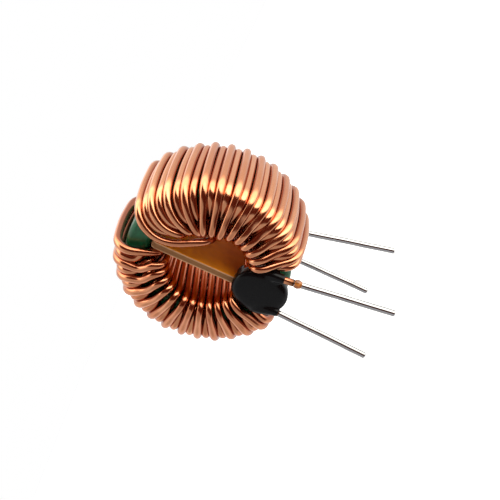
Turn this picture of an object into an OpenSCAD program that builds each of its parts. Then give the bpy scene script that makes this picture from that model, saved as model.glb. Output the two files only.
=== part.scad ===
// Two-winding choke on a ring core, standing on edge over its board.
// Millimetres. +Z is up, the leads point down, the ring's axis lies along Y with its front at -Y.
// The board's top surface is at Z = 0 and the ring's axis stands over X = 0.

/* [Core] */
// Outside diameter of the coated ring
core_od = 25.2; // [23:0.2:28]
// Bore of the coated ring
core_id = 17.8; // [17.4:0.1:18.8]
// Height of the coated ring along its axis
core_h = 11.9; // [9:0.1:15]
// Radius on the edges of the coated ring
core_edge = 0.9; // [0.7:0.1:1.2]
// Thickness of the green coat
coat = 0.35; // [0.2:0.05:0.5]

/* [Windings] */
// Diameter of the enamelled wire
wire_d = 1.1; // [0.8:0.02:1.12]
// Turns of wire in each layer of a winding
layer_turns = 14; // [10:1:14]
// Angle of the ring that the right winding covers
right_span = 141; // [138:0.5:144]
// Angle of the ring that the left winding covers
left_span = 162; // [156:0.5:162.5]
// Play between the first layer and the ring
wire_play = 0.1; // [0.08:0.01:0.15]
// Rise of the second layer over the first on the outside of the ring
outer_rise = 0.6; // [0.5:0.01:1]
// Rise of the second layer over the first on the faces, at the hole
face_rise = 1.3; // [1.1:0.05:1.5]
// Distance of the second layer from the first inside the hole
bore_rise = 1.9; // [1.5:0.05:2.2]
// Least gap between turns that lie side by side in the hole
turn_gap = 0.01; // [0.01:0.01:0.05]
// Bend radius of the wire's centre line in the second layer, at the hole
loose_bend = 1.4; // [1.2:0.1:1.8]
// Bend radius of the wire's centre line in the second layer, at the ring's rim
rim_bend = 2.4; // [2:0.1:2.4]
// Cut of the first layer's bends into the radius that would follow the ring's edge
bend_ease = 0.15; // [0.15:0.05:0.4]
// Run of wire on the face, past its bend, before it turns to its lead
exit_seat = 1; // [0.6:0.1:1.4]
// Straight run of wire before the tin starts
exit_straight = 0.6; // [0.4:0.1:0.8]
// Pull of the curve that takes the wire from the face to its lead
exit_pull = 1.6; // [1.2:0.1:2]
// Slant of the wire in the hole, from one turn to the next, that the packing allows for
bore_slant = 6; // [4:0.5:8]

/* [Divider] */
// Thickness of the divider plate
plate_t = 1.25; // [0.8:0.05:1.3]
// Height of the plate's long edges over the ring's faces
plate_stand = 0.9; // [0.4:0.1:1.2]
// Gap between the plate's ends and the bore
plate_gap = 0.03; // [0.02:0.01:0.1]
// Radius on the plate's four corners
plate_corner = 0.7; // [0.3:0.1:1.5]

/* [Epoxy drop] */
// Width of the drop across the plate
drop_w = 7.4; // [6:0.1:8]
// Length of the drop along the plate
drop_len = 8.7; // [8.4:0.1:9.6]
// Height of the drop over the ring's front face
drop_rise = 2.8; // [2.4:0.1:3]
// Depth of the drop inside the hole
drop_plug = 1.6; // [1:0.1:2.5]
// Distance of the drop's middle from the bore's wall, towards the ring's axis
drop_inset = 0.3; // [0.1:0.1:0.5]
// Sideways shift of the drop's middle from the plate
drop_shift = 0.7; // [0:0.1:1]
// Least cover of the drop over the wires that leave through it
drop_cover = 0.1; // [0.05:0.05:0.2]
// Gap between the drop and the first layer of wire
drop_gap = 0.05; // [0.03:0.01:0.1]
// Overhang of the drop past its stem, at each end
drop_lip = 0.4; // [0.3:0.05:0.6]

/* [Leads] */
// Gap between the lowest turns and the board
seat_gap = 0.3; // [0.1:0.1:0.6]
// Diameter of the tinned leads
lead_d = 0.95; // [0.7:0.05:1]
// Distance of the leads from the ring's faces
lead_stand = 2.4; // [2.2:0.1:3]
// Distance from the ring's rim to where the tin starts
tin_start = 0.75; // [0.6:0.05:1.2]
// How much further up the tin starts on the front right lead
tin_rise = 1.2; // [0:0.05:1.4]
// Distance of the right leads' tips from the plate's middle
right_tip = 7.5; // [6.5:0.1:8]
// Distance of the left leads' tips from the plate's middle
left_tip = 1.7; // [1.4:0.1:3]
// Lean of the front right lead away from the plate
front_right_lean = 9; // [6:0.5:12]
// Lean of the back right lead away from the plate
back_right_lean = 15.5; // [12:0.5:18]
// Lean of the front left lead away from the plate
front_left_lean = 2.5; // [0:0.5:5]
// Lean of the back left lead away from the plate
back_left_lean = 0; // [0:0.5:3]
// Depth of the leads' tips under the board's top surface
lead_drop = 12.9; // [9:0.1:18]
// Diameter of the bead where the tin starts
bead_d = 1.35; // [1.2:0.05:1.6]

/* [Hidden] */
$fn = 96;
wire_sides = 8;
bend_steps = 3;
exit_steps = 5;
wire_r = wire_d / 2;
first_off = wire_r + wire_play;
first_bend = core_edge + first_off - bend_ease;
first_out = core_od / 2 + first_off;
first_in = core_id / 2 - first_off;
first_half = core_h / 2 + first_off;
wound_r = first_out + outer_rise + wire_r;
axis_z = wound_r + seat_gap;
tip_z = -lead_drop - axis_z;
plate_depth = core_h + 2 * plate_stand;
drop_reach = core_id / 2 - drop_inset;
lead_depth = core_h + 2 * lead_stand;
tight_pitch = min(right_span, left_span) / layer_turns;
packed_r = (wire_d + turn_gap) / (2 * sin(tight_pitch / 2) * cos(bore_slant));
front = -1;
back = 1;
right = 1;
left = -1;

// Layer 0 lies on the ring, layer 1 in the grooves of layer 0.
function out_r(layer) = first_out + layer * outer_rise;
function in_r(layer) = layer == 0 ? first_in : max(first_in - bore_rise, packed_r);
function out_half(layer) = first_half + layer * outer_rise;
function in_half(layer) = first_half + layer * face_rise;
function bend_r(layer, outside) = layer == 0 ? first_bend : outside ? rim_bend : loose_bend;
function exit_half() = (first_half + in_half(1)) / 2;

function unit(v) = v / norm(v);
function around(side, r, angle) = [side * r * cos(angle), 0, r * sin(angle)];

// The turns count up the first layer, then back down the second, half a pitch aside.
function turn_layer(turn) = turn <= layer_turns ? 0 : 1;
function turn_angle(span, turn) =
    let (pitch = span / layer_turns)
    turn <= layer_turns
        ? -span / 2 + pitch * turn
        : span / 2 - pitch * (turn - layer_turns - 0.5);

// One station of a turn: corner 0 front outside, 1 back outside, 2 back inside, 3 front inside.
function station(side, angle, layer, corner, step, last = false) =
    let (outside = corner < 2)
    let (bend = bend_r(layer, outside))
    let (turn = -90 + 90 * corner + 90 * step / (bend_steps - 1))
    let (half = last ? exit_half() : outside ? out_half(layer) : in_half(layer))
    let (r = (outside ? out_r(layer) - bend : in_r(layer) + bend) + bend * cos(turn))
    let (y = (corner == 1 || corner == 2 ? half - bend : bend - half) + bend * sin(turn))
    concat(around(side, r, angle) + [0, y, 0], [side * angle + (side < 0 ? 180 : 0)]);

// A lead's line, from its joint with the wire to its tip.
function lean_of(side, face) =
    side == right
        ? (face == front ? front_right_lean : back_right_lean)
        : (face == front ? front_left_lean : back_left_lean);
function lead_dir(side, face) =
    let (lean = lean_of(side, face))
    [side * sin(lean), 0, -cos(lean)];
function lead_tip(side, face) =
    [side == right ? right_tip : -left_tip, face * lead_depth / 2, tip_z];
function joint_z(side, face) = (side == right && face == front ? tin_rise : 0) - core_od / 2 - tin_start;
function lead_len(side, face) = (joint_z(side, face) - tip_z) / cos(lean_of(side, face));
function lead_joint(side, face) = lead_tip(side, face) - lead_len(side, face) * lead_dir(side, face);

// The wire's way from a lead's joint to the face of the winding, as a smooth curve.
function mix_curve(a, b, c, d, t) =
    a * pow(1 - t, 3) + 3 * b * t * pow(1 - t, 2) + 3 * c * t * t * (1 - t) + d * pow(t, 3);
function exit_r(face) = exit_seat + (face == front ? in_r(1) + loose_bend : in_r(0) + first_bend);
function exit_spot(side, face, angle, half) = around(side, exit_r(face), angle) + [0, face * half, 0];
function exit_way(side, face, angle, half) =
    let (turned = [side * angle + (side < 0 ? 180 : 0)])
    let (up = -lead_dir(side, face))
    let (joint = lead_joint(side, face))
    let (bend = joint + exit_straight * up)
    let (seat = exit_spot(side, face, angle, half))
    let (pull = exit_pull * unit(around(side, 1, angle)))
    concat(
        [concat(joint, turned)],
        [for (i = [0 : exit_steps])
            concat(mix_curve(bend, bend + exit_pull * up, seat + pull, seat, i / exit_steps), turned)]);

function reversed(list) = [for (i = [len(list) - 1 : -1 : 0]) list[i]];
function winding_turns() = 2 * layer_turns - 1;
function last_angle(span) = turn_angle(span, winding_turns() + 1);

// Centre line of a winding: back lead, first layer, second layer, front lead.
function winding_start(side, span) =
    concat(
        exit_way(side, back, turn_angle(span, 0), first_half),
        [for (corner = [2, 3]) for (step = [0 : bend_steps - 1])
            station(side, turn_angle(span, corner == 2 ? 0 : 1), 0, corner, step)]);
function winding_loops(side, span) =
    [for (turn = [1 : winding_turns()]) if (turn != layer_turns)
        for (corner = [0 : 3]) for (step = [0 : bend_steps - 1])
        corner < 3
            ? station(side, turn_angle(span, turn), turn_layer(turn), corner, step)
            : station(side, turn_angle(span, turn + 1), turn_layer(turn + 1), corner, step,
                      turn == winding_turns())];
function winding_end(side, span) = reversed(exit_way(side, front, last_angle(span), exit_half()));

// Sweeps the round wire along a centre line of points and angles. A depth opens it into a slot
// that runs back towards the ring.
module swept_wire(way, depth = 0) {
    count = len(way);
    at = [for (p = way) [p[0], p[1], p[2]]];
    run = [for (i = [0 : count - 2]) unit(at[i + 1] - at[i])];
    points = [for (i = [0 : count - 1])
        let (before = run[max(i - 1, 0)])
        let (after = run[min(i, count - 2)])
        let (along = unit(before + after))
        let (across = [-sin(way[i][3]), 0, cos(way[i][3])])
        let (flat = unit(across - (across * along) * along))
        let (up = cross(along, flat) / (along * before))
        for (k = [0 : wire_sides - 1])
            let (rim = wire_r * (cos(360 * k / wire_sides) * up + sin(360 * k / wire_sides) * flat))
            at[i] + rim + [0, rim[1] > wire_r / 3 ? depth : 0, 0]];
    walls = [for (i = [0 : count - 2]) for (k = [0 : wire_sides - 1])
        let (n = (k + 1) % wire_sides)
        let (low = i * wire_sides)
        let (high = low + wire_sides)
        each [[low + k, high + n, high + k], [low + k, low + n, high + n]]];
    ends = [
        [for (k = [wire_sides - 1 : -1 : 0]) k],
        [for (k = [0 : wire_sides - 1]) (count - 1) * wire_sides + k]];
    polyhedron(points, concat(walls, ends));
}

module ring_section(inset) {
    w = (core_od - core_id) / 2 - 2 * inset;
    h = core_h - 2 * inset;
    r = core_edge - inset;
    translate([(core_od + core_id) / 4, 0]) {
        square([w - 2 * r, h], center = true);
        square([w, h - 2 * r], center = true);
        for (x = [-1, 1]) {
            for (y = [-1, 1]) {
                translate([x * (w / 2 - r), y * (h / 2 - r)])
                    circle(r);
            }
        }
    }
}

module placed() {
    translate([0, 0, axis_z])
        children();
}

module ferrite_core() {
    color("dimgray")
        placed()
            rotate([90, 0, 0])
                rotate_extrude()
                    ring_section(coat);
}

module core_coating() {
    color("seagreen")
        placed()
            rotate([90, 0, 0])
                rotate_extrude()
                    difference() {
                        ring_section(0);
                        ring_section(coat);
                    }
}

module winding(side, span) {
    swept_wire(concat(
        winding_start(side, span),
        winding_loops(side, span),
        winding_end(side, span)));
}

module winding_right() {
    color("peru")
        placed()
            winding(right, right_span);
}

module winding_left() {
    color("sienna")
        placed()
            winding(left, left_span);
}

// The plate's outline: a strip across the bore with rounded corners.
module plate_blank() {
    reach = sqrt(pow(core_id / 2, 2) - pow(plate_t / 2, 2)) - plate_gap;
    rotate([90, 0, 90])
        linear_extrude(plate_t, center = true) {
            square([plate_depth - 2 * plate_corner, 2 * reach], center = true);
            square([plate_depth, 2 * (reach - plate_corner)], center = true);
            for (y = [-1, 1]) {
                for (z = [-1, 1]) {
                    translate([y * (plate_depth / 2 - plate_corner), z * (reach - plate_corner)])
                        circle(plate_corner);
                }
            }
        }
}

module divider_plate() {
    color("darkgoldenrod")
        placed()
            plate_blank();
}

// The drop: a stem that fills the gap between the wires that leave, under a low dome over them.
module drop_body() {
    around_steps = 28;
    dome_steps = 5;
    right_seat = exit_spot(right, front, last_angle(right_span), exit_half());
    left_seat = exit_spot(left, front, last_angle(left_span), exit_half());
    stem_x = (right_seat[0] + left_seat[0]) / 2;
    stem_w = (right_seat[0] - left_seat[0]) / 2 - wire_r - drop_gap;
    stem_len = drop_len / 2 - drop_lip;
    base = drop_plug - core_h / 2;
    under = -first_half - wire_r - drop_gap;
    wall = -exit_half() - wire_r - drop_cover;
    dome = core_h / 2 + drop_rise + wall;
    rows = concat(
        [[stem_x, stem_w, stem_len, base], [stem_x, stem_w, stem_len, under],
         [drop_shift, drop_w / 2, drop_len / 2, under]],
        [for (i = [0 : dome_steps - 1])
            let (a = 90 * i / dome_steps)
            let (share = pow(cos(a), 0.6))
            [drop_shift, share * drop_w / 2, share * drop_len / 2, wall - dome * sin(a)]]);
    points = concat(
        [for (row = rows) for (k = [0 : around_steps - 1])
            let (a = 360 * k / around_steps)
            [row[0] + row[1] * cos(a), row[3], row[2] * sin(a) - drop_reach]],
        [[drop_shift, wall - dome, -drop_reach]]);
    last = len(rows) - 1;
    crown = len(points) - 1;
    walls = [for (i = [0 : last - 1]) for (k = [0 : around_steps - 1])
        let (n = (k + 1) % around_steps)
        let (low = i * around_steps)
        let (high = low + around_steps)
        each [[low + k, high + k, high + n], [low + k, high + n, low + n]]];
    cap = [for (k = [0 : around_steps - 1])
        let (low = last * around_steps)
        [low + k, crown, low + (k + 1) % around_steps]];
    foot = [[for (k = [0 : around_steps - 1]) k]];
    polyhedron(points, concat(walls, cap, foot));
}

// The stretches of a winding beside the drop: the last two turns at the hole, the way out to the
// lead with a slot under it, and the first turn.
module caught_wire(side, span) {
    loops = winding_loops(side, span);
    begin = winding_start(side, span);
    way_out = winding_end(side, span);
    tail = len(loops);
    turn_len = 4 * bend_steps;
    swept_wire(concat([for (i = [tail - bend_steps - 1 : tail - 1]) loops[i]], way_out));
    swept_wire(way_out, lead_stand + wire_r);
    swept_wire([for (i = [tail - turn_len - bend_steps - 1 : tail - turn_len + bend_steps - 1]) loops[i]]);
    swept_wire(concat(
        [for (i = [len(begin) - bend_steps - 1 : len(begin) - 1]) begin[i]],
        [for (i = [0 : bend_steps - 1]) loops[i]]));
}

module epoxy_drop() {
    color("black")
        placed()
            difference() {
                drop_body();
                plate_blank();
                rotate([90, 0, 0])
                    rotate_extrude()
                        ring_section(0);
                caught_wire(right, right_span);
                caught_wire(left, left_span);
            }
}

// Stands a child made along +Z at a lead's joint, pointing to its tip.
module along_lead(side, face) {
    joint = lead_joint(side, face);
    translate([joint[0], joint[1], joint[2] + axis_z])
        rotate([0, 180 - side * lean_of(side, face), 0])
            children();
}

module lead(side, face) {
    tip_round = lead_d / 4;
    straight = lead_len(side, face) - tip_round;
    along_lead(side, face) {
        cylinder(d = lead_d, h = straight);
        translate([0, 0, straight])
            cylinder(d1 = lead_d, d2 = lead_d / 2, h = tip_round);
    }
}

module lead_front_right() {
    color("silver")
        lead(right, front);
}

module lead_back_right() {
    color("silver")
        lead(right, back);
}

module lead_front_left() {
    color("silver")
        lead(left, front);
}

module lead_back_left() {
    color("silver")
        lead(left, back);
}

module lead_bead() {
    color("orange")
        along_lead(right, front)
            difference() {
                translate([0, 0, bead_d / 2])
                    sphere(d = bead_d);
                cylinder(d = lead_d, h = 2 * bead_d);
            }
}

ferrite_core();
core_coating();
winding_right();
winding_left();
divider_plate();
epoxy_drop();
lead_front_right();
lead_back_right();
lead_front_left();
lead_back_left();
lead_bead();
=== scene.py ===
import math
import random

import bmesh
import bpy
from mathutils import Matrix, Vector, noise


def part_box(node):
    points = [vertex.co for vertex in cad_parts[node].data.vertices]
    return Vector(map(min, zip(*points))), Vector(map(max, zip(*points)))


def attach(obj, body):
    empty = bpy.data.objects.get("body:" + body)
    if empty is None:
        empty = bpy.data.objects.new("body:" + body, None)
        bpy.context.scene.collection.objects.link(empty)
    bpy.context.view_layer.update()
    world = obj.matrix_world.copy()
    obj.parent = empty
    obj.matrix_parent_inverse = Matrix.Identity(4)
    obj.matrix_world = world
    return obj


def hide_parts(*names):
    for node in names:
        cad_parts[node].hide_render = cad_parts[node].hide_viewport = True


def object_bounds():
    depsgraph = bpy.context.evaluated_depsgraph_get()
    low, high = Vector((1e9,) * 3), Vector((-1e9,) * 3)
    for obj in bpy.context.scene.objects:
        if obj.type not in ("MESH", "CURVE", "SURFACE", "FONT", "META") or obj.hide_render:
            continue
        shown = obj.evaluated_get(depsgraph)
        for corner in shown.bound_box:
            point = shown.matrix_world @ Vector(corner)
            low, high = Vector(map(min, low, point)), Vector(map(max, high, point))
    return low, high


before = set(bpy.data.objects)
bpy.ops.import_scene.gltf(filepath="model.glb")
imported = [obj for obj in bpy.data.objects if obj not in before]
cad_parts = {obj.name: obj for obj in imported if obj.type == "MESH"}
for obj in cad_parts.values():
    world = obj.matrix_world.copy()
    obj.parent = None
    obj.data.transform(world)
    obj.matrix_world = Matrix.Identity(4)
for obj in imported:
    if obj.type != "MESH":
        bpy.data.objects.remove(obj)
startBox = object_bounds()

mm = 0.001
front, back, right, left = -1, 1, 1, -1


# shader maths: one socket, with arithmetic that adds Math nodes
class Sock:
    def __init__(self, tree, out=None):
        self.tree = tree
        self.out = out

    def node(self, kind, settings=None, values=None, out=0):
        made = self.tree.nodes.new(kind)
        for key, value in (settings or {}).items():
            setattr(made, key, value)
        for key, value in (values or {}).items():
            if isinstance(value, Sock):
                self.tree.links.new(value.out, made.inputs[key])
            else:
                made.inputs[key].default_value = value
        return Sock(self.tree, made.outputs[out]) if made.outputs else None

    def maths(self, kind, first, second=0.0):
        return self.node("ShaderNodeMath", {"operation": kind}, {0: first, 1: second})

    def __add__(self, other):
        return self.maths("ADD", self, other)

    def __sub__(self, other):
        return self.maths("SUBTRACT", self, other)

    def __rsub__(self, other):
        return self.maths("SUBTRACT", other, self)

    def __mul__(self, other):
        return self.maths("MULTIPLY", self, other)

    def __abs__(self):
        return self.maths("ABSOLUTE", self)

    __radd__ = __add__
    __rmul__ = __mul__

    # soft step from 0 to 1 between two values
    def step(self, low, high):
        return self.node("ShaderNodeMapRange", {"interpolation_type": "SMOOTHSTEP"},
                         {"Value": self, "From Min": low, "From Max": high})

    def mix(self, mask, first, second):
        return self.node("ShaderNodeMix", {"data_type": "RGBA"}, {0: mask, 6: first, 7: second}, 2)

    # object coordinates in millimetres
    def place(self):
        spot = self.node("ShaderNodeTexCoord", out="Object")
        return self.node("ShaderNodeVectorMath", {"operation": "SCALE"}, {0: spot, "Scale": 1 / mm})

    def axis(self, letter):
        return self.node("ShaderNodeSeparateXYZ", None, {0: self}, letter)

    # how far a direction points along a heading
    def dot(self, heading):
        return self.node("ShaderNodeVectorMath", {"operation": "DOT_PRODUCT"},
                         {0: self, 1: heading}, "Value")

    def painted(self, name):
        return self.node("ShaderNodeAttribute", {"attribute_name": name}, None, "Fac")

    def grain(self, spot, scale, detail=2.0, rough=0.5):
        return self.node("ShaderNodeTexNoise", None,
                         {"Vector": spot, "Scale": scale, "Detail": detail, "Roughness": rough})

    def bump(self, height, strength, depth):
        return self.node("ShaderNodeBump", None,
                         {"Height": height, "Strength": strength, "Distance": depth * mm})


def rgb(red, green, blue):
    return (red, green, blue, 1.0)


def startFinish(name):
    finish = bpy.data.materials.new(name)
    finish.use_nodes = True
    finish.node_tree.nodes.clear()
    return finish, Sock(finish.node_tree)


def closeFinish(start, values):
    shader = start.node("ShaderNodeBsdfPrincipled", None, values)
    start.node("ShaderNodeOutputMaterial", None, {"Surface": shader})


# finishes: a scale is per millimetre, a pair is the range of a soft step, and a bump is strength and depth

# copper under clear enamel: tone drifts from turn to turn and along the wire, ends are scorched, and painted
# shade darkens the grooves between turns, the wire in the bore and the whole left winding
enamel = {
    "copper": rgb(0.92, 0.41, 0.2), "deep": rgb(0.64, 0.2, 0.08), "scorch": rgb(0.16, 0.06, 0.025),
    # painted shade: the dark red colour and its share on the next line darken the grooves between turns
    "grooveShadeColour": rgb(0.3, 0.055, 0.02), "grooveShadeAmount": 0.75, "clear": 0.5, "rough": 0.13,
    "clearRough": 0.09, "clearIor": 1.55, "cloudScale": 0.35, "speckScale": 9.0, "rubs": (0.62, 0.75),
    "bump": (0.12, 0.02)}


def enamelFinish():
    finish, start = startFinish("enamelled_copper")
    spot = start.place()
    burn = start.painted("burn")
    cloud = start.grain(spot, enamel["cloudScale"], 3.0)
    specks = start.grain(spot, enamel["speckScale"], 2.0)
    # painted shade: the tone attribute makes the bore and the left winding darker, besides its random drift
    toneAndShade = (start.painted("tone") * 0.55 + cloud * 0.5 - 0.1) * 0.8
    colour = start.mix(toneAndShade, enamel["copper"], enamel["deep"])
    # painted shade: the sides of the wire that face the ring, between turns, are darkened
    colour = start.mix(start.painted("groove_shade") * enamel["grooveShadeAmount"], colour, enamel["grooveShadeColour"])
    colour = start.mix(burn, colour, enamel["scorch"])
    rubs = specks.step(*enamel["rubs"])
    closeFinish(start, {
        "Base Color": colour,
        "Metallic": 1.0,
        "Roughness": enamel["rough"] + cloud * 0.1 + rubs * 0.12 + burn * 0.25,
        "Coat Weight": enamel["clear"] - burn * 0.4,
        "Coat Roughness": enamel["clearRough"],
        "Coat IOR": enamel["clearIor"],
        "Normal": start.bump(specks, *enamel["bump"])})
    return finish


# dipped tin: slow waves, dull patches and greyer edges
tin = {
    "bright": rgb(0.56, 0.56, 0.56), "dull": rgb(0.36, 0.36, 0.36), "edge": rgb(0.2, 0.2, 0.2),
    "rough": 0.05, "waveScale": 1.4, "frostScale": 14.0, "patchScale": 0.45, "patches": (0.5, 0.75),
    "bump": (0.15, 0.05)}


def tinFinish():
    finish, start = startFinish("dipped_tin")
    spot = start.place()
    waves = start.grain(spot, tin["waveScale"], 3.0)
    frost = start.grain(spot, tin["frostScale"], 3.0, 0.65)
    patches = start.grain(spot, tin["patchScale"], 2.0).step(*tin["patches"])
    closeFinish(start, {
        "Base Color": start.mix(patches * 0.5 + frost * 0.15, tin["bright"], tin["dull"]),
        "Metallic": 1.0,
        "Roughness": tin["rough"] + patches * 0.1 + frost * 0.06,
        "Specular Tint": tin["edge"],
        "Normal": start.bump(waves + frost * 0.25, *tin["bump"])})
    return finish


# glossy green coat over the ring
coat = {
    "green": rgb(0.008, 0.165, 0.06), "deep": rgb(0.007, 0.085, 0.03), "pale": rgb(0.05, 0.24, 0.12),
    "clear": 0.15, "clearRough": 0.12, "rough": 0.24, "peelScale": 1.6, "fineScale": 7.0,
    "flecks": (0.64, 0.78), "cloudScale": 0.5, "clouds": (0.35, 0.7), "bump": (0.4, 0.06)}


def coatFinish():
    finish, start = startFinish("green_coat")
    spot = start.place()
    peel = start.grain(spot, coat["peelScale"], 2.0)
    fine = start.grain(spot, coat["fineScale"], 3.0, 0.6)
    flecks = fine.step(*coat["flecks"])
    clouds = start.grain(spot, coat["cloudScale"], 3.0).step(*coat["clouds"])
    colour = start.mix(clouds, coat["deep"], coat["green"])
    closeFinish(start, {
        "Base Color": start.mix(flecks * 0.4, colour, coat["pale"]),
        "Roughness": coat["rough"] + fine * 0.14,
        "Coat Weight": coat["clear"],
        "Coat Roughness": coat["clearRough"],
        "Normal": start.bump(peel + fine * 0.3, *coat["bump"])})
    return finish


# pressed laminate: amber faces with a faint weave, pale cut edges with layers
laminate = {
    "amber": rgb(0.98, 0.33, 0.0), "red": rgb(0.74, 0.22, 0.0), "edge": rgb(0.6, 0.34, 0.19),
    "core": rgb(0.2, 0.09, 0.035), "rough": 0.36, "shine": 0.06, "weaveScale": 21.0,
    "cloudScale": 0.3, "clouds": (0.3, 0.75), "fibreScale": 1.6, "fibreStretch": (9.0, 0.7, 0.7),
    "layers": (0.3, 0.5), "facing": (0.35, 0.9), "bump": (0.25, 0.04)}


def laminateFinish():
    finish, start = startFinish("laminate")
    spot = start.place()
    threads = [start.maths("SINE", spot.axis(letter) * laminate["weaveScale"]) for letter in "YZ"]
    weave = threads[0] * threads[1]
    cloud = start.grain(spot, laminate["cloudScale"], 3.0)
    stretched = start.node("ShaderNodeVectorMath", {"operation": "MULTIPLY"},
                           {0: spot, 1: laminate["fibreStretch"]})
    fibre = start.grain(stretched, laminate["fibreScale"], 3.0, 0.6)
    depth = abs(spot.axis("X"))
    facing = start.node("ShaderNodeNewGeometry", None, None, "Normal")
    cut = 1.0 - abs(facing.axis("X")).step(*laminate["facing"])
    face = start.mix(cloud.step(*laminate["clouds"]), laminate["amber"], laminate["red"])
    face = start.mix((weave + 1.0) * 0.06, face, laminate["edge"])
    rim = start.mix(depth.step(*laminate["layers"]) * 0.9 + fibre * 0.25, laminate["core"], laminate["edge"])
    closeFinish(start, {
        "Base Color": start.mix(cut, face, rim),
        "Roughness": laminate["rough"] + cut * 0.2 + fibre * 0.12,
        "Specular IOR Level": laminate["shine"],
        "Normal": start.bump(weave * 0.3 + fibre * cut, *laminate["bump"])})
    return finish


# cured black epoxy with dust and small pits
epoxy = {
    "black": rgb(0.0035, 0.0035, 0.004), "dust": rgb(0.02, 0.02, 0.022), "rough": 0.14, "shine": 0.2,
    "slowScale": 0.55, "fineScale": 11.0, "specks": (0.68, 0.8), "pitScale": 1.3, "pits": (0.03, 0.1),
    "bump": (0.3, 0.08)}


def epoxyFinish():
    finish, start = startFinish("black_epoxy")
    spot = start.place()
    slow = start.grain(spot, epoxy["slowScale"], 2.0)
    fine = start.grain(spot, epoxy["fineScale"], 3.0, 0.6)
    dust = fine.step(*epoxy["specks"])
    cells = start.node("ShaderNodeTexVoronoi", None, {"Vector": spot, "Scale": epoxy["pitScale"]}, "Distance")
    pits = 1.0 - cells.step(*epoxy["pits"])
    closeFinish(start, {
        "Base Color": start.mix(dust * 0.5, epoxy["black"], epoxy["dust"]),
        "Roughness": epoxy["rough"] + slow * 0.1 + dust * 0.15,
        "Specular IOR Level": epoxy["shine"],
        "Normal": start.bump(slow * 2.0 + fine * 0.02 - pits * 0.2, *epoxy["bump"])})
    return finish


# amber resin of the bead
resin = {
    "amber": rgb(0.52, 0.17, 0.03), "dark": rgb(0.2, 0.06, 0.015), "rough": 0.12,
    "clear": 0.6, "clearRough": 0.05, "cloudScale": 1.8, "clouds": (0.35, 0.7), "bump": (0.3, 0.06)}


def resinFinish():
    finish, start = startFinish("amber_resin")
    cloud = start.grain(start.place(), resin["cloudScale"], 3.0)
    closeFinish(start, {
        "Base Color": start.mix(cloud.step(*resin["clouds"]), resin["amber"], resin["dark"]),
        "Roughness": resin["rough"] + cloud * 0.12,
        "Coat Weight": resin["clear"],
        "Coat Roughness": resin["clearRough"],
        "Normal": start.bump(cloud, *resin["bump"])})
    return finish


# grey sintered ferrite, hidden under the coat
ferrite = {
    "grey": rgb(0.05, 0.05, 0.053), "dark": rgb(0.025, 0.025, 0.027), "rough": 0.6,
    "gritScale": 8.0, "bump": (0.5, 0.03)}


def ferriteFinish():
    finish, start = startFinish("ferrite")
    grit = start.grain(start.place(), ferrite["gritScale"], 4.0, 0.6)
    closeFinish(start, {
        "Base Color": start.mix(grit, ferrite["dark"], ferrite["grey"]),
        "Roughness": ferrite["rough"] + grit * 0.25,
        "Normal": start.bump(grit, *ferrite["bump"])})
    return finish


finishes = {
    "ferrite": ferriteFinish(), "coating": coatFinish(), "enamelled_copper": enamelFinish(),
    "laminate": laminateFinish(), "epoxy": epoxyFinish(), "tin": tinFinish(), "bead": resinFinish()}
print("finishes:", len(finishes))


def addPiece(name, mesh, slot, node):
    piece = bpy.data.objects.new(name, mesh)
    bpy.context.scene.collection.objects.link(piece)
    piece.data.materials.append(finishes[slot])
    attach(piece, "root")
    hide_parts(node)
    return piece


def smoothMesh(name, points, faces):
    mesh = bpy.data.meshes.new(name)
    mesh.from_pydata([point * mm for point in points], [], faces)
    mesh.shade_smooth()
    mesh.update()
    return mesh


# a round wire along a list of points in millimetres, with a radius at each
def sweptRings(way, radii, sides):
    points = []
    along = [(way[i + 1] - way[i]).normalized() for i in range(len(way) - 1)]
    side = along[0].orthogonal().normalized()
    for i, spot in enumerate(way):
        before, after = along[max(i - 1, 0)], along[min(i, len(along) - 1)]
        heading = (before + after).normalized()
        side = (side - side.dot(heading) * heading).normalized()
        other = heading.cross(side)
        for k in range(sides):
            angle = 2 * math.pi * k / sides
            points.append(spot + radii[i] * (math.cos(angle) * side + math.sin(angle) * other))
    return points


def sweptFaces(count, sides, base=0):
    faces = []
    for i in range(count - 1):
        for k in range(sides):
            low, turn = base + i * sides, (k + 1) % sides
            faces.append((low + k, low + turn, low + sides + turn, low + sides + k))
    faces.append(tuple(base + k for k in reversed(range(sides))))
    faces.append(tuple(base + (count - 1) * sides + k for k in range(sides)))
    return faces


ringLow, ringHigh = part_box("core_coating")
ring = {
    "outer": (ringHigh.x - ringLow.x) / 2 / mm, "half": (ringHigh.y - ringLow.y) / 2 / mm,
    "axisZ": (ringHigh.z + ringLow.z) / 2 / mm, "bore": 8.9, "edge": 0.9, "segments": 160, "edgeSteps": 8}


# the coated ring as a lathe shape about Y
def buildRing():
    profile, edge = [], ring["edge"]
    for rSign, ySign, first in ((1, -1, -90), (1, 1, 0), (-1, 1, 90), (-1, -1, 180)):
        cornerR = (ring["outer"] if rSign > 0 else ring["bore"]) - rSign * edge
        cornerY = ySign * (ring["half"] - edge)
        for step in range(ring["edgeSteps"] + 1):
            angle = math.radians(first + 90 * step / ring["edgeSteps"])
            profile.append((cornerR + edge * math.cos(angle), cornerY + edge * math.sin(angle)))
    points, faces = [], []
    rows, segments = len(profile), ring["segments"]
    for s in range(segments):
        angle = 2 * math.pi * s / segments
        for radius, y in profile:
            points.append(Vector((radius * math.cos(angle), y, ring["axisZ"] + radius * math.sin(angle))))
    for s in range(segments):
        now, ahead = s * rows, (s + 1) % segments * rows
        for k in range(rows):
            nextK = (k + 1) % rows
            faces.append((now + k, now + nextK, ahead + nextK, ahead + k))
    addPiece("coated_ring", smoothMesh("coated_ring", points, faces), "coating", "core_coating")


buildRing()
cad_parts["ferrite_core"].data.materials.clear()
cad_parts["ferrite_core"].data.materials.append(finishes["ferrite"])
print("ring: coat and core")


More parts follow.
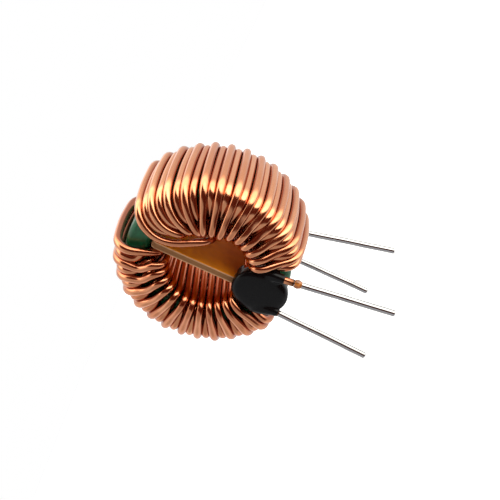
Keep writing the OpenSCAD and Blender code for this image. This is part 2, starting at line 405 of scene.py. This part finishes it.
# leads: tips holds each tip's x and its lean away from the divider, in degrees
# the cut end's length and flat are shares of the radius
leads = {
    "depth": 8.35, "tipZ": -12.9, "jointZ": ring["axisZ"] - 13.35,
    "jointRise": {(right, front): 1.2, (left, front): 0.8},
    "radius": 0.475, "sides": 18, "steps": 44, "collar": 0.5, "collarRun": 0.5,
    "sway": 0.045, "swayScale": 0.22, "swayIn": 6, "swaySeed": 3,
    "dent": 0.018, "dentScale": 0.9, "shift": 50, "cut": 0.45, "cutBends": (25, 50, 72), "cutFlat": 0.35,
    "tips": {(right, front): (7.5, 9.0), (right, back): (7.5, 15.5),
             (left, front): (-1.7, 2.5), (left, back): (-1.7, 0.0)},
    "names": {(right, front): "front_right", (right, back): "back_right",
              (left, front): "front_left", (left, back): "back_left"}}


def leadLine(side, face):
    tipX, lean = leads["tips"][side, face]
    lean = math.radians(lean)
    heading = Vector((side * math.sin(lean), 0, -math.cos(lean)))
    tip = Vector((tipX, face * leads["depth"], leads["tipZ"]))
    length = (leads["jointZ"] + leads["jointRise"].get((side, face), 0) - leads["tipZ"]) / math.cos(lean)
    return tip - length * heading, heading, length


def buildLead(side, face):
    joint, heading, length = leadLine(side, face)
    name = leads["names"][side, face]
    rand = random.Random(name)
    shift = Vector((rand.uniform(0, leads["shift"]), rand.uniform(0, leads["shift"]), 0))
    radius, steps, flat = leads["radius"], leads["steps"], leads["cutFlat"]
    way, radii = [], []
    for i in range(steps + 1):
        share = i / steps
        run = share * (length - radius * leads["cut"])
        sway = noise.noise_vector(shift + Vector((0, 0, run * leads["swayScale"]))) * leads["sway"]
        sway = sway * min(1, share * leads["swayIn"])
        way.append(joint + heading * run + sway - heading * sway.dot(heading))
        dent = leads["dent"] * noise.noise(shift * 2 + Vector((0, 0, run * leads["dentScale"])))
        collar = (leads["collar"] - radius) * max(0, 1 - run / leads["collarRun"]) ** 2
        radii.append(radius + dent + collar)
    for bend in leads["cutBends"]:  # rounded cut end
        angle = math.radians(bend)
        way.append(way[steps] + heading * radius * leads["cut"] * math.sin(angle))
        radii.append(radii[steps] * (flat + (1 - flat) * math.cos(angle)))
    points = sweptRings(way, radii, leads["sides"])
    mesh = smoothMesh(name, points, sweptFaces(len(way), leads["sides"]))
    addPiece("tinned_" + name, mesh, "tin", "lead_" + name)


noise.seed_set(leads["swaySeed"])  # the same sway each run
for side in (right, left):
    for face in (front, back):
        buildLead(side, face)
print("leads: 4")


# windings: first layer on the ring, second in its grooves, both hands mirrored in x
# reaches and bends are for the first layer, then the second; a ramp is where it starts and how far it runs
winding = {
    "turns": 14, "span": {right: 141.0, left: 162.0}, "seed": {right: 5, left: 11}, "sides": 14,
    "wireR": 0.552, "swell": {right: 0.1, left: 0.13}, "swellRamp": (8.5, 3), "clearRamp": (3, 2),
    # painted shade: the left winding's tone and the bore tone make those wires darker
    "tone": {right: 0.0, left: 0.5}, "boreShadeTone": 0.45, "boreRamp": (9, -1.5),
    # painted shade: the groove ramp sets which sides of the wire between turns are darkened
    "grooveShadeRamp": (0.75, -0.5), "boreGroove": 0.45, "burn": 1.1,
    "outR": (13.45, 13.95), "inR": (8.25, 6.0), "outHalf": (6.9, 7.3), "inHalf": (6.7, 8.55),
    "outBend": {right: (1.7, 3.1), left: (1.6, 2.5)}, "backBend": (1.6, 2.2), "inBend": (1.4, 1.8),
    "bendSteps": 9, "fill": 1.4, "spacing": 0.45, "softPasses": 5, "held": 4,
    "spread": {right: 3.2, left: 1.5}, "spreadAngle": 65, "spreadPower": 2.2,
    "tuck": {right: (0.1, 0.7), left: (0.0, 0.0)}, "tuckRamp": (5, -15),
    "lean": {right: 0.0, left: 9.0}, "leanRamp": (5, 50),
    "sag": 0.25, "sagSteps": (0.25, 0.5, 0.75), "sagR": ((9.4, 11.6), (7.8, 11.4)),
    "exitHalf": 7.25, "exitBend": 1.4, "exitSeat": 1.0, "exitStraight": 0.6, "exitPull": 1.6, "exitSteps": 14,
    "shiftFirst": 0.1, "shiftSecond": 0.3, "slant": 0.25, "rise": 0.07, "bow": 0.3}

# turns that cross the front along the hole's edge: radius, angle and y of each point
crossings = {
    (right, 9): [
        (7.9, 29, -4.5), (7.9, 29, -6.2), (8.2, 29.6, -7.1), (8.8, 30.8, -7.5),
        (9.9, 32.2, -7.5), (11.4, 32.6, -7.2), (12.8, 32.1, -6.4), (13.4, 31.5, -5.0)],
    (right, 10): [
        (7.6, 36, -4.5), (7.6, 36, -6.4), (7.9, 37.5, -7.2), (8.7, 41, -7.6),
        (9.9, 43.5, -7.6), (11.4, 44.2, -7.2), (12.8, 43.2, -6.4), (13.4, 42, -5.0)],
    (right, 11): [
        (7.4, 46, -4.5), (7.4, 46, -6.4), (7.7, 49, -7.3), (8.6, 54, -7.7),
        (9.8, 57, -7.7), (11.4, 57.5, -7.3), (12.8, 56, -6.4), (13.4, 54, -5.0)],
    (right, 12): [
        (7.2, 56, -4.5), (7.2, 57, -6.4), (7.6, 62, -7.3), (8.5, 67.5, -7.6),
        (9.8, 70, -7.6), (11.4, 69.5, -7.3), (12.7, 67.5, -6.5), (13.4, 65, -5.0)],
    (right, 13): [
        (5.1, 12, -3.0), (5.1, 9, -5.6), (5.25, 16, -7.4), (5.5, 31, -8.3),
        (5.75, 45, -8.5), (6.1, 57, -8.5), (6.8, 66.5, -8.4), (7.8, 73, -8.3),
        (9.5, 76.5, -8.1), (11.25, 76, -7.7), (12.75, 73.5, -7.1), (13.6, 71, -5.7)],
    (right, 15): [
        (6.4, 50, -5.5), (6.5, 50, -7.0), (6.9, 51, -7.9), (7.6, 55, -8.3), (8.5, 60, -8.3),
        (9.9, 63.5, -8.1), (11.7, 63.5, -7.6), (13.0, 61.5, -6.6), (13.8, 59.5, -4.9)],
    (right, 16): [
        (6.4, 39, -5.5), (6.45, 39, -7.0), (6.9, 40.5, -8.0), (7.9, 44.5, -8.4),
        (9.7, 49.5, -8.2), (11.6, 50.5, -7.7), (13.0, 49.3, -6.6), (13.8, 48, -4.9)],
    (right, 17): [
        (6.2, 29, -5.5), (6.2, 29, -7.0), (6.6, 30, -8.1), (7.6, 33, -8.5),
        (9.6, 36.8, -8.3), (11.5, 38.0, -7.7), (13.0, 37.5, -6.6), (13.8, 36.7, -4.9)],
    (left, 13): [
        (6.9, 82, -4.5), (6.95, 82, -6.2), (7.5, 82, -7.0), (8.6, 81, -7.2), (10.1, 79, -7.2)]}


def spotAt(side, radius, angle, y):
    angle = math.radians(angle)
    return Vector((side * radius * math.cos(angle), y, ring["axisZ"] + radius * math.sin(angle)))


def outwardAt(side, angle):
    return (spotAt(side, 1, angle, 0) - Vector((0, 0, ring["axisZ"]))).normalized()


def radiusOf(spot):
    return math.hypot(spot.x, spot.z - ring["axisZ"])


# 0 to 1 along a ramp; a run below zero goes the other way
def rampAt(value, ramp):
    start, run = ramp
    return max(0, min(1, (value - start) / run))


def turnAngle(side, turn):
    span, turns = winding["span"][side], winding["turns"]
    if turn <= turns:
        return -span / 2 + span / turns * turn
    return span / 2 - span / turns * (turn - turns - 0.5)


# a quarter bend: corner 0 front outside, 1 back outside, 2 back inside, 3 front inside
def quarterBend(side, angle, layer, corner, rise=0.0, half=None, tuck=0.0):
    outside = corner < 2
    bends = (winding["outBend"][side], winding["backBend"], winding["inBend"], winding["inBend"])
    bend = bends[corner][layer]
    reach = winding["outR" if outside else "inR"][layer] + rise + tuck
    half = half or winding["outHalf" if outside else "inHalf"][layer]
    middleR = reach - bend if outside else reach + bend
    middleY = (half - bend) * (1 if corner in (1, 2) else -1)
    spots = []
    for step in range(winding["bendSteps"]):
        turn = math.radians(-90 + 90 * corner + 90 * step / (winding["bendSteps"] - 1))
        spots.append(spotAt(side, middleR + bend * math.cos(turn), angle, middleY + bend * math.sin(turn)))
    return spots


# from a lead's joint to the face of the winding
def exitWay(side, face, angle, half):
    joint, heading, _ = leadLine(side, face)
    layer = 1 if face == front else 0
    seatR = winding["inR"][layer] + winding["exitBend"] + winding["exitSeat"]
    seat = spotAt(side, seatR, angle, face * half)
    begin = joint - heading * winding["exitStraight"]
    pullA = begin - heading * winding["exitPull"]
    pullB = seat + outwardAt(side, angle) * winding["exitPull"]
    spots = [joint]
    for i in range(winding["exitSteps"] + 1):
        t = i / winding["exitSteps"]
        early = begin * (1 - t) ** 3 + 3 * pullA * t * (1 - t) ** 2
        spots.append(early + 3 * pullB * t * t * (1 - t) + seat * t ** 3)
    return spots


# straight runs get points in between, bowed a little away from the ring where they lie outside
def joinUp(way, tones, spots, tone, bow=Vector((0, 0, 0))):
    if way:
        start, end = way[-1], spots[0]
        count = int((end - start).length / winding["fill"])
        for i in range(1, count + 1):
            t = i / (count + 1)
            way.append(start.lerp(end, t) + bow * math.sin(math.pi * t))
            tones.append(tone)
    way.extend(spots)
    tones.extend([tone] * len(spots))


# even spacing, then soft corners as in pulled wire, with both ends held
def softenWay(way, tones):
    spots, marks, ahead = [way[0]], [tones[0]], winding["spacing"]
    for start, end, tone in zip(way, way[1:], tones[1:]):
        run = (end - start).length
        while ahead <= run:
            spots.append(start.lerp(end, ahead / run))
            marks.append(tone)
            ahead += winding["spacing"]
        ahead -= run
    spots.append(way[-1])
    marks.append(tones[-1])
    first, last = winding["held"], len(spots) - winding["held"]
    for _ in range(winding["softPasses"]):
        spots[first:last] = [
            spots[i] * 0.5 + (spots[i - 1] + spots[i + 1]) * 0.25 for i in range(first, last)]
    return spots, marks


def fanAngle(side, angle):  # the far end fans out on the rim
    return winding["spread"][side] * max(0, angle / winding["spreadAngle"]) ** winding["spreadPower"]


# a front run that sags towards the rim, then leans to the plate
def saggedRun(side, angle, layer, lean):
    startR, endR = winding["sagR"][layer]
    startY, endY = winding["inHalf"][layer], winding["outHalf"][layer]
    spots = []
    for t in winding["sagSteps"]:
        swing = lean * ((1 - t) ** 2 - winding["sag"] * math.sin(math.pi * t))
        radius, y = startR + (endR - startR) * t, -startY - (endY - startY) * t
        spots.append(spotAt(side, radius, angle + swing, y))
    return spots


def windingWay(side):
    rand = random.Random(winding["seed"][side])
    turns, way, tones = winding["turns"], [], []
    last = 2 * turns - 1
    tone, crossing = rand.random(), None
    joinUp(way, tones, exitWay(side, back, turnAngle(side, 0), winding["inHalf"][0]), tone)
    joinUp(way, tones, quarterBend(side, turnAngle(side, 0), 0, 2), tone)
    joinUp(way, tones, quarterBend(side, turnAngle(side, 1), 0, 3), tone)
    for turn in range(1, last + 1):
        if turn == turns:
            continue
        layer = 0 if turn <= turns else 1
        nextLayer = 0 if turn + 1 <= turns else 1
        tone = rand.random()
        shift = rand.uniform(-1, 1) * winding["shiftSecond" if layer else "shiftFirst"]
        slant = rand.uniform(-0.5, 1) * winding["slant"] * layer
        rise = rand.uniform(-0.5, 1) * winding["rise"] * layer
        angle = turnAngle(side, turn)
        rimAngle = angle + fanAngle(side, angle) + shift
        if not crossing or side == left:
            joinUp(way, tones, quarterBend(side, rimAngle - slant, layer, 0, rise), tone)
        bow = outwardAt(side, angle) * winding["bow"]
        joinUp(way, tones, quarterBend(side, rimAngle + slant, layer, 1, rise), tone, bow)
        joinUp(way, tones, quarterBend(side, angle, layer, 2), tone)
        half, inAngle = None, turnAngle(side, turn + 1)
        if turn == last:
            half = winding["exitHalf"]
        least, more = winding["tuck"][side]
        tuck = (least + more * rampAt(inAngle, winding["tuckRamp"])) * nextLayer * (turn != last)
        lean = winding["lean"][side] * rampAt(inAngle, winding["leanRamp"])
        crossing = crossings.get((side, turn))
        if crossing:  # turn 13 also climbs to the second layer
            bend = [spotAt(side, *spot) for spot in crossing]
        else:
            bend = quarterBend(side, inAngle + lean, nextLayer, 3, half=half, tuck=tuck)
            if lean > 0:
                bend += saggedRun(side, inAngle, nextLayer, lean)
        joinUp(way, tones, bend, tone)
    joinUp(way, tones, exitWay(side, front, turnAngle(side, last + 1), winding["exitHalf"])[::-1], tone)
    return softenWay(way, tones)


# the way off the ring's nearest surface
def awayFromRing(spot):
    radius = radiusOf(spot)
    nearR = max(ring["bore"], min(ring["outer"], radius))
    nearY = max(-ring["half"], min(ring["half"], spot.y))
    side = Vector((spot.x, 0, spot.z - ring["axisZ"])) / radius
    away = side * (radius - nearR) + Vector((0, spot.y - nearY, 0))
    return away.normalized() if away.length > 0.01 else side


def buildWinding(side, name, node):
    way, tones = windingWay(side)
    sides = winding["sides"]
    joints = [leadLine(side, front)[0], leadLine(side, back)[0]]
    gaps = [min((spot - joint).length for joint in joints) for spot in way]
    radii = []
    for spot, gap in zip(way, gaps):  # fuller on the outside, and thinner at the leads
        full = min(rampAt(radiusOf(spot), winding["swellRamp"]), rampAt(gap, winding["clearRamp"]))
        radii.append(winding["wireR"] + winding["swell"][side] * full)
    points = sweptRings(way, radii, sides)
    mesh = smoothMesh(name, points, sweptFaces(len(way), sides))
    toneData = mesh.attributes.new("tone", "FLOAT", "POINT")
    burnData = mesh.attributes.new("burn", "FLOAT", "POINT")
    grooveShadeData = mesh.attributes.new("groove_shade", "FLOAT", "POINT")
    for i, spot in enumerate(way):
        inner = rampAt(radiusOf(spot), winding["boreRamp"])
        # painted shade: the left winding and the wire deep in the bore are made darker
        tone = tones[i] + winding["tone"][side] + inner * winding["boreShadeTone"]  # deeper in the bore
        burn = max(0.0, 1.0 - gaps[i] / winding["burn"])
        facing = awayFromRing(spot)
        for k in range(i * sides, (i + 1) * sides):
            tip = (points[k] - spot).normalized().dot(facing)
            grooveShadeAmount = rampAt(tip, winding["grooveShadeRamp"])  # painted shade between turns
            grooveShadeData.data[k].value = grooveShadeAmount * (1 - winding["boreGroove"] * inner)
            toneData.data[k].value = tone
            burnData.data[k].value = burn
    print(name, len(way), "stations")
    addPiece(name, mesh, "enamelled_copper", node)


buildWinding(right, "copper_winding_right", "winding_right")
buildWinding(left, "copper_winding_left", "winding_left")


# divider plate: rounded outline in YZ, softened edges
plateLow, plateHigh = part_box("divider_plate")
plate = {"corner": 0.7, "cornerSteps": 8, "soften": 0.16, "softenSteps": 3}


def buildPlate():
    halfY, halfZ = (plateHigh.y - plateLow.y) / 2 / mm, (plateHigh.z - plateLow.z) / 2 / mm
    halfX, centreZ = (plateHigh.x - plateLow.x) / 2 / mm, (plateHigh.z + plateLow.z) / 2 / mm
    outline = []
    for ySign, zSign, first in ((1, 1, 0), (-1, 1, 90), (-1, -1, 180), (1, -1, 270)):
        for step in range(plate["cornerSteps"] + 1):
            angle = math.radians(first + 90 * step / plate["cornerSteps"])
            outline.append((ySign * (halfY - plate["corner"]) + plate["corner"] * math.cos(angle),
                            zSign * (halfZ - plate["corner"]) + plate["corner"] * math.sin(angle)))
    rows = []
    for xSign, steps in ((-1, range(plate["softenSteps"] + 1)), (1, range(plate["softenSteps"], -1, -1))):
        for step in steps:
            angle = math.radians(90 * step / plate["softenSteps"])
            x = xSign * (halfX - plate["soften"] * (1 - math.cos(angle)))
            rows.append((x, plate["soften"] * (1 - math.sin(angle))))
    points, faces, count = [], [], len(outline)
    for x, inset in rows:
        for y, z in outline:
            points.append(Vector((x, y * (halfY - inset) / halfY, centreZ + z * (halfZ - inset) / halfZ)))
    for i in range(len(rows) - 1):
        for k in range(count):
            turn = (k + 1) % count
            faces.append((i * count + k, i * count + turn, (i + 1) * count + turn, (i + 1) * count + k))
    faces.append(tuple(reversed(range(count))))
    faces.append(tuple((len(rows) - 1) * count + k for k in range(count)))
    mesh = smoothMesh("laminate_divider", points, faces)
    piece = addPiece("laminate_divider", mesh, "laminate", "divider_plate")
    flat = piece.modifiers.new("flat_faces", "WEIGHTED_NORMAL")
    flat.keep_sharp = True


buildPlate()
print("divider plate")


# epoxy drop: dome, stem and sleeves over the wires that leave, melted together
# a sleeve is how many points stay bare before the lead, and its extra radius at the dome
drop = {
    "x": 0.7, "z": -8.6, "halfW": 3.7, "halfLen": 4.35, "under": -6.3, "lip": 0.3, "wall": -7.7,
    "top": -8.75, "base": -4.6, "stemW": 2.6, "stemLen": 4.0,
    "around": 64, "domeSteps": 14, "domeEnd": 88, "domePower": 0.6,
    "sleeves": {left: (0, 0.5), right: (3, 0.42)}, "sleeveGap": 0.06, "sleeveSides": 20,
    "voxel": 0.13, "melt": 14}


def dropShell(rows):
    points, faces, around = [], [], drop["around"]
    middleZ = ring["axisZ"] + drop["z"]
    for halfW, halfLen, y in rows:
        for k in range(around):
            angle = 2 * math.pi * k / around
            x, z = drop["x"] + halfW * math.cos(angle), middleZ + halfLen * math.sin(angle)
            points.append(Vector((x, y, z)))
    for i in range(len(rows) - 1):
        for k in range(around):
            turn = (k + 1) % around
            faces.append((i * around + k, (i + 1) * around + k, (i + 1) * around + turn, i * around + turn))
    faces.append(tuple(range(around)))
    faces.append(tuple((len(rows) - 1) * around + k for k in reversed(range(around))))
    return points, faces


def buildDrop():
    rows = [(drop["stemW"], drop["stemLen"], drop["base"]), (drop["stemW"], drop["stemLen"], drop["under"]),
            (drop["halfW"], drop["halfLen"], drop["under"] - drop["lip"])]
    for step in range(drop["domeSteps"] + 1):
        angle = math.radians(drop["domeEnd"] * step / drop["domeSteps"])
        share = math.cos(angle) ** drop["domePower"]
        y = drop["wall"] - (drop["wall"] - drop["top"]) * math.sin(angle)
        rows.append((drop["halfW"] * share, drop["halfLen"] * share, y))
    points, faces = dropShell(rows)
    for side, (bare, thick) in drop["sleeves"].items():
        way = exitWay(side, front, turnAngle(side, 2 * winding["turns"]), winding["exitHalf"])[::-1]
        count = len(way) - bare
        thin = winding["wireR"] + drop["sleeveGap"]
        radii = [thin + thick * (1 - (i / (count - 1)) ** 3) for i in range(count)]
        faces += sweptFaces(count, drop["sleeveSides"], len(points))
        points += sweptRings(way[:count], radii, drop["sleeveSides"])
    mesh = smoothMesh("epoxy_drop", points, faces)
    piece = addPiece("black_drop", mesh, "epoxy", "epoxy_drop")
    remesh = piece.modifiers.new("fuse", "REMESH")
    remesh.mode, remesh.voxel_size = "VOXEL", drop["voxel"] * mm
    remesh.use_smooth_shade = True
    melt = piece.modifiers.new("melt", "SMOOTH")
    melt.factor, melt.iterations = 0.5, drop["melt"]


buildDrop()
print("epoxy drop")


# amber bead where the tin of the front right lead starts
bead = {
    "radius": 0.68, "offset": 0.675, "stretch": 1.12, "detail": 4,
    "lumps": 0.07, "lumpScale": 1.3, "lumpSpot": Vector((3, 1, 7))}


def buildBead():
    joint, heading, _ = leadLine(right, front)
    shape = bmesh.new()
    bmesh.ops.create_icosphere(shape, subdivisions=bead["detail"], radius=1.0)
    turned = heading.to_track_quat("Z", "Y").to_matrix()
    for vert in shape.verts:
        lump = 1 + bead["lumps"] * noise.noise(vert.co * bead["lumpScale"] + bead["lumpSpot"])
        spot = Vector((vert.co.x, vert.co.y, vert.co.z * bead["stretch"])) * bead["radius"] * lump
        vert.co = (joint + heading * bead["offset"] + turned @ spot) * mm
    mesh = bpy.data.meshes.new("amber_bead")
    shape.to_mesh(mesh)
    shape.free()
    mesh.shade_smooth()
    addPiece("amber_bead", mesh, "bead", "lead_bead")


buildBead()
print("bead")


# studio: pale floor under the tips, and a background that the camera sees as white
# metal shows a pale room with a soft strip of light, a dark band on the camera's side and a dim zone
studio = {
    "floorSize": 1.2, "floorGap": 0.0001, "floorColour": rgb(0.86, 0.86, 0.86), "floorGlow": 0.62,
    "room": rgb(0.88, 0.88, 0.89), "strip": rgb(2.8, 2.75, 2.5),
    "dim": rgb(0.5, 0.5, 0.51), "dark": rgb(0.1, 0.023, 0.015),
    "top": (0.907, -0.02, 0.418), "topEdge": (0.05, 0.3),
    "stripFront": (-0.6, -0.5), "stripBack": (0.45, 0.75),
    "bandFront": (0.55, -0.835, 0), "frontEdge": (0.1, 0.4),
    "bandUp": (0.835, 0.55, 0), "bandEdge": (0.36, 0.54),
    "low": (-0.45, -0.88, -0.13), "lowEdge": (0.5, 0.85)}


def buildFloor():
    size, z = studio["floorSize"] / 2, startBox[0][2] - studio["floorGap"]
    mesh = bpy.data.meshes.new("floor")
    corners = [(-size, -size, z), (size, -size, z), (size, size, z), (-size, size, z)]
    mesh.from_pydata(corners, [], [(0, 1, 2, 3)])
    floor = bpy.data.objects.new("floor", mesh)
    bpy.context.scene.collection.objects.link(floor)
    finish, start = startFinish("pale_floor")
    seen = start.node("ShaderNodeLightPath", out="Is Camera Ray")
    paint = start.node("ShaderNodeBsdfDiffuse", None, {"Color": studio["floorColour"]})
    glow = start.node("ShaderNodeEmission", None, {"Strength": seen * studio["floorGlow"]})
    both = start.node("ShaderNodeAddShader", None, {0: paint, 1: glow})
    start.node("ShaderNodeOutputMaterial", None, {"Surface": both})
    mesh.materials.append(finish)
    floor.visible_glossy = False  # metal shows the room instead


def buildWorld():
    world = bpy.data.worlds.new("studio")
    bpy.context.scene.world = world
    world.use_nodes = True
    world.node_tree.nodes.clear()
    start = Sock(world.node_tree)
    way = start.node("ShaderNodeTexCoord", out="Generated")
    depth = way.axis("Y")
    strip = depth.step(*studio["stripFront"]) * (1 - depth.step(*studio["stripBack"]))
    strip = strip * way.dot(studio["top"]).step(*studio["topEdge"])
    colour = start.mix(strip, studio["room"], studio["strip"])
    colour = start.mix(way.dot(studio["low"]).step(*studio["lowEdge"]), colour, studio["dim"])
    tilt = abs(way.dot(studio["bandUp"]))
    band = way.dot(studio["bandFront"]).step(*studio["frontEdge"]) * (1 - tilt.step(*studio["bandEdge"]))
    colour = start.mix(band, colour, studio["dark"])
    room = start.node("ShaderNodeBackground", None, {"Color": colour})
    white = start.node("ShaderNodeBackground", None, {"Color": rgb(1, 1, 1)})
    seen = start.node("ShaderNodeLightPath", out="Is Camera Ray")
    both = start.node("ShaderNodeMixShader", None, {0: seen, 1: room, 2: white})
    start.node("ShaderNodeOutputWorld", None, {"Surface": both})


lamps = {
    "key": {"toward": Vector((0.93, -0.22, 0.12)), "distance": 0.2, "size": (0.11, 0.2), "watts": 0.05},
    "fill": {"toward": Vector((-0.25, 0.75, 0.6)), "distance": 0.3, "size": (0.2, 0.2), "watts": 0.05}}


def buildLamp(name):
    lamp = lamps[name]
    data = bpy.data.lights.new(name, "AREA")
    data.shape = "RECTANGLE"
    data.size, data.size_y = lamp["size"]
    data.energy = lamp["watts"]
    made = bpy.data.objects.new(name, data)
    centre = Vector((0, 0, ring["axisZ"] * mm))
    toward = lamp["toward"].normalized()
    made.location = centre + toward * lamp["distance"]
    made.rotation_euler = toward.to_track_quat("Z", "Y").to_euler()
    bpy.context.scene.collection.objects.link(made)


buildFloor()
buildWorld()
for name in lamps:
    buildLamp(name)
print("studio: floor, surround and", len(lamps), "lamps")


camera = {
    "place": (0.085438, -0.127155, 0.016834 + ring["axisZ"] * mm), "turn": (70.378, 64.290, 15.567),
    "lens": 72.0, "sensor": 36.0, "clip": 0.005}
cameraData = bpy.data.cameras.new("camera")
cameraData.lens = camera["lens"]
cameraData.sensor_width = camera["sensor"]
cameraData.clip_start = camera["clip"]
cameraObject = bpy.data.objects.new("camera", cameraData)
cameraObject.location = camera["place"]
cameraObject.rotation_euler = [math.radians(angle) for angle in camera["turn"]]
bpy.context.scene.collection.objects.link(cameraObject)
bpy.context.scene.camera = cameraObject
bpy.context.scene.view_settings.view_transform = "Standard"

print("done")
